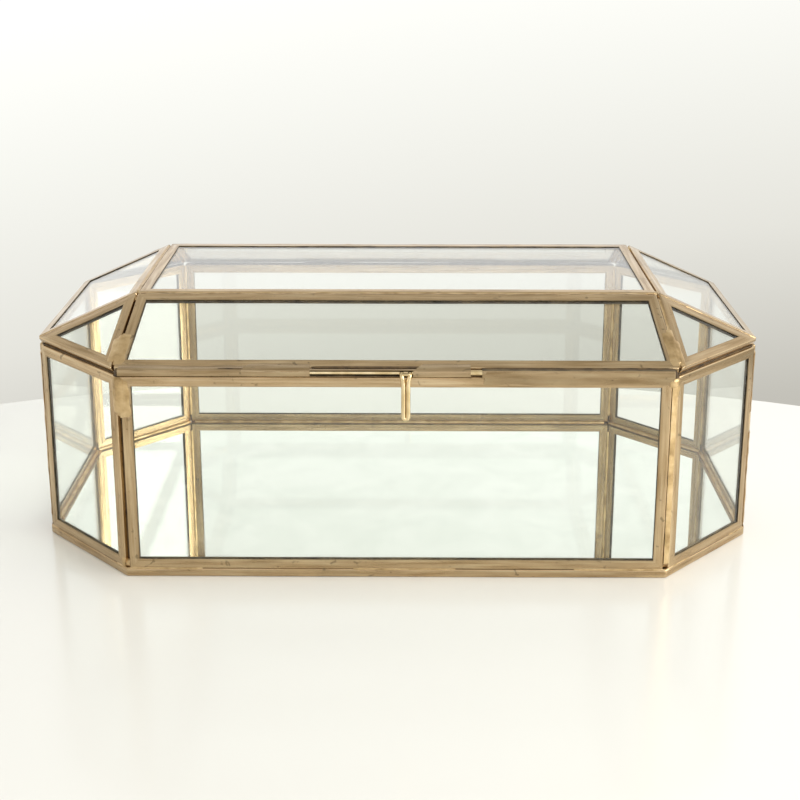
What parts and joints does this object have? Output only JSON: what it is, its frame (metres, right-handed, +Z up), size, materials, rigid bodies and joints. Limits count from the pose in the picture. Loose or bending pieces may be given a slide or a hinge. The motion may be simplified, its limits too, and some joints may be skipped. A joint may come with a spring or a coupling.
{
  "type": "jewelry box",
  "caption": "Long eight-sided glass jewelry box framed in antique brass, with a mirror floor, a faceted hinged lid and a sliding wire latch.",
  "frame": {"origin": "middle of the underside, on the surface the box stands on", "axes": "+X along the length, +Y from the latch at the front to the hinge at the back, +Z up"},
  "size_m": [0.2502, 0.146, 0.0902],
  "materials": {
    "antique_brass": "brushed antique brass channel, hand finished",
    "gilt_solder": "lumpy solder, gilded with the brass",
    "brass_wire": "drawn brass wire, rubbed bright",
    "clear_glass": "clear 2 mm float glass",
    "mirror_silver": "silvered float glass",
    "backing_paint": "protective paint on the mirror's back"
  },
  "bodies": {
    "tray": {"mirror_frame": "antique_brass", "mirror_plate": "mirror_silver", "mirror_backing": "backing_paint", "wall_frame_front": "antique_brass", "wall_frame_front_right": "antique_brass", "wall_frame_right": "antique_brass", "wall_frame_back_right": "antique_brass", "wall_frame_back": "antique_brass", "wall_frame_back_left": "antique_brass", "wall_frame_left": "antique_brass", "wall_frame_front_left": "antique_brass", "wall_glass_front": "clear_glass", "wall_glass_front_right": "clear_glass", "wall_glass_right": "clear_glass", "wall_glass_back_right": "clear_glass", "wall_glass_back": "clear_glass", "wall_glass_back_left": "clear_glass", "wall_glass_left": "clear_glass", "wall_glass_front_left": "clear_glass", "wall_solder": "gilt_solder", "floor_solder": "gilt_solder", "keeper_strip": "antique_brass", "tray_knuckle_left": "antique_brass", "tray_knuckle_right": "antique_brass", "hinge_pin": "brass_wire"},
    "lid": {"lid_frame_front": "antique_brass", "lid_frame_front_right": "antique_brass", "lid_frame_right": "antique_brass", "lid_frame_back_right": "antique_brass", "lid_frame_back": "antique_brass", "lid_frame_back_left": "antique_brass", "lid_frame_left": "antique_brass", "lid_frame_front_left": "antique_brass", "lid_frame_top": "antique_brass", "lid_glass_front": "clear_glass", "lid_glass_front_right": "clear_glass", "lid_glass_right": "clear_glass", "lid_glass_back_right": "clear_glass", "lid_glass_back": "clear_glass", "lid_glass_back_left": "clear_glass", "lid_glass_left": "clear_glass", "lid_glass_front_left": "clear_glass", "lid_glass_top": "clear_glass", "lid_solder": "gilt_solder", "guide_strip": "antique_brass", "guide_solder": "gilt_solder", "lid_knuckle": "antique_brass"},
    "latch": {"latch_bolt": "brass_wire", "thumb_tab": "brass_wire"}
  },
  "joints": [
    {"name": "lid_hinge", "type": "hinge", "parent": "tray", "child": "lid", "pos_m": [0, 0.07175, 0.0736], "axis": [-1, 0, 0], "range_deg": [0, 210]},
    {"name": "latch_slide", "type": "slide", "parent": "lid", "child": "latch", "axis": [1, 0, 0], "range_m": [-0.029, 0]}
  ]
}
